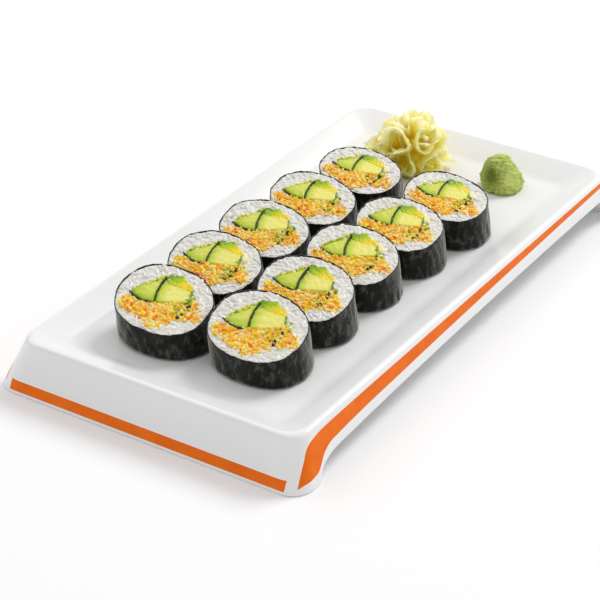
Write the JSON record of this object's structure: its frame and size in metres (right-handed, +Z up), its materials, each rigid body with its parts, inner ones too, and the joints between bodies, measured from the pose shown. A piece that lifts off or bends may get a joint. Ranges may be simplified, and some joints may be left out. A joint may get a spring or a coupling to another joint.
{
  "type": "maki sushi roll",
  "caption": "Thick maki sushi slices in two rows on a long white porcelain plate with flared feet and orange stripes, with pickled ginger and wasabi.",
  "frame": {"origin": "middle of the plate's footprint, on the surface that it stands on", "axes": "+Z up; +Y along the plate from its front end to the back end with the ginger and wasabi; +X across the plate to its right side"},
  "size_m": [0.1832, 0.346, 0.0514],
  "materials": {
    "porcelain": "white glazed porcelain with painted orange stripes",
    "roll": "cut sushi roll: cooked rice, vegetables and dark nori",
    "ginger": "moist translucent pickled ginger",
    "wasabi": "grainy matte paste"
  },
  "bodies": {
    "root": {"plate": "porcelain", "roll_left_1": "roll", "roll_left_2": "roll", "roll_left_3": "roll", "roll_left_4": "roll", "roll_left_5": "roll", "roll_right_1": "roll", "roll_right_2": "roll", "roll_right_3": "roll", "roll_right_4": "roll", "roll_right_5": "roll", "pickled_ginger": "ginger", "wasabi": "wasabi"}
  },
  "joints": []
}
